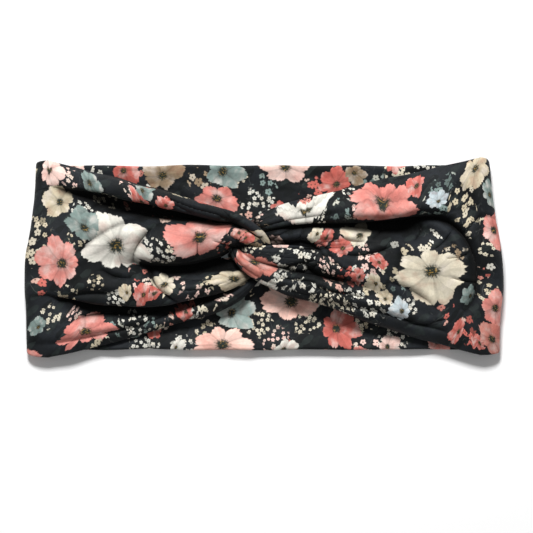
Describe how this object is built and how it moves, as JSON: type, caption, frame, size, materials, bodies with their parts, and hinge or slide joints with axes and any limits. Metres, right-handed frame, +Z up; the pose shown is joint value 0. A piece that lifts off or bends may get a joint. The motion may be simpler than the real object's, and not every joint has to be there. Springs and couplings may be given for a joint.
{
  "type": "knotted headband",
  "caption": "Wide stretch-knit headband lying flat: one flattened fabric tube that folds over at each side, gathers towards the front and clasps itself in an interlocked twist.",
  "frame": {"origin": "middle of the underside of the rear, where it lies on the table", "axes": "+X along the band from the left fold to the right fold, +Y across the band towards its top edge, +Z up from the table through the knot"},
  "size_m": [0.2404, 0.099, 0.0208],
  "materials": {
    "printed_knit": "brushed knit with a floral print on a charcoal ground",
    "knit_wrong_side": "unprinted side of the same knit",
    "thread": "spun polyester overlock thread"
  },
  "bodies": {
    "rear_centre": {"rear_centre": "printed_knit"},
    "rear_left": {"rear_left": "printed_knit", "left_fold": "printed_knit"},
    "rear_right": {"rear_right": "printed_knit", "right_fold": "printed_knit"},
    "front_left": {"front_left": "printed_knit"},
    "front_right": {"front_right": "printed_knit"},
    "left_hook": {"left_hook": "printed_knit", "knot_raw_ends": "knit_wrong_side", "knot_overlock_thread": "thread"},
    "right_hook": {"right_hook": "printed_knit"}
  },
  "joints": [
    {"name": "rear_left_bend", "type": "hinge", "parent": "rear_centre", "child": "rear_left", "pos_m": [-0.03, 0, 0.0026], "axis": [0, 1, 0], "range_deg": [0, 55]},
    {"name": "left_fold_bend", "type": "hinge", "parent": "rear_left", "child": "front_left", "pos_m": [-0.112, 0, 0.0046], "axis": [0, 1, 0], "range_deg": [-110, 0], "deforming": ["left_fold"]},
    {"name": "front_left_bend", "type": "hinge", "parent": "front_left", "child": "left_hook", "pos_m": [-0.03, 0, 0.0066], "axis": [0, 1, 0], "range_deg": [0, 55]},
    {"name": "rear_right_bend", "type": "hinge", "parent": "rear_centre", "child": "rear_right", "pos_m": [0.03, 0, 0.0026], "axis": [0, 1, 0], "range_deg": [-55, 0]},
    {"name": "right_fold_bend", "type": "hinge", "parent": "rear_right", "child": "front_right", "pos_m": [0.112, 0, 0.0046], "axis": [0, 1, 0], "range_deg": [0, 110], "deforming": ["right_fold"]},
    {"name": "front_right_bend", "type": "hinge", "parent": "front_right", "child": "right_hook", "pos_m": [0.03, 0, 0.0066], "axis": [0, 1, 0], "range_deg": [-55, 0]}
  ],
  "couplings": [
    {"joint": "rear_right_bend", "follows": "rear_left_bend", "ratio": -1},
    {"joint": "left_fold_bend", "follows": "rear_left_bend", "ratio": -2},
    {"joint": "right_fold_bend", "follows": "rear_left_bend", "ratio": 2},
    {"joint": "front_left_bend", "follows": "rear_left_bend", "ratio": 1},
    {"joint": "front_right_bend", "follows": "rear_left_bend", "ratio": -1}
  ]
}
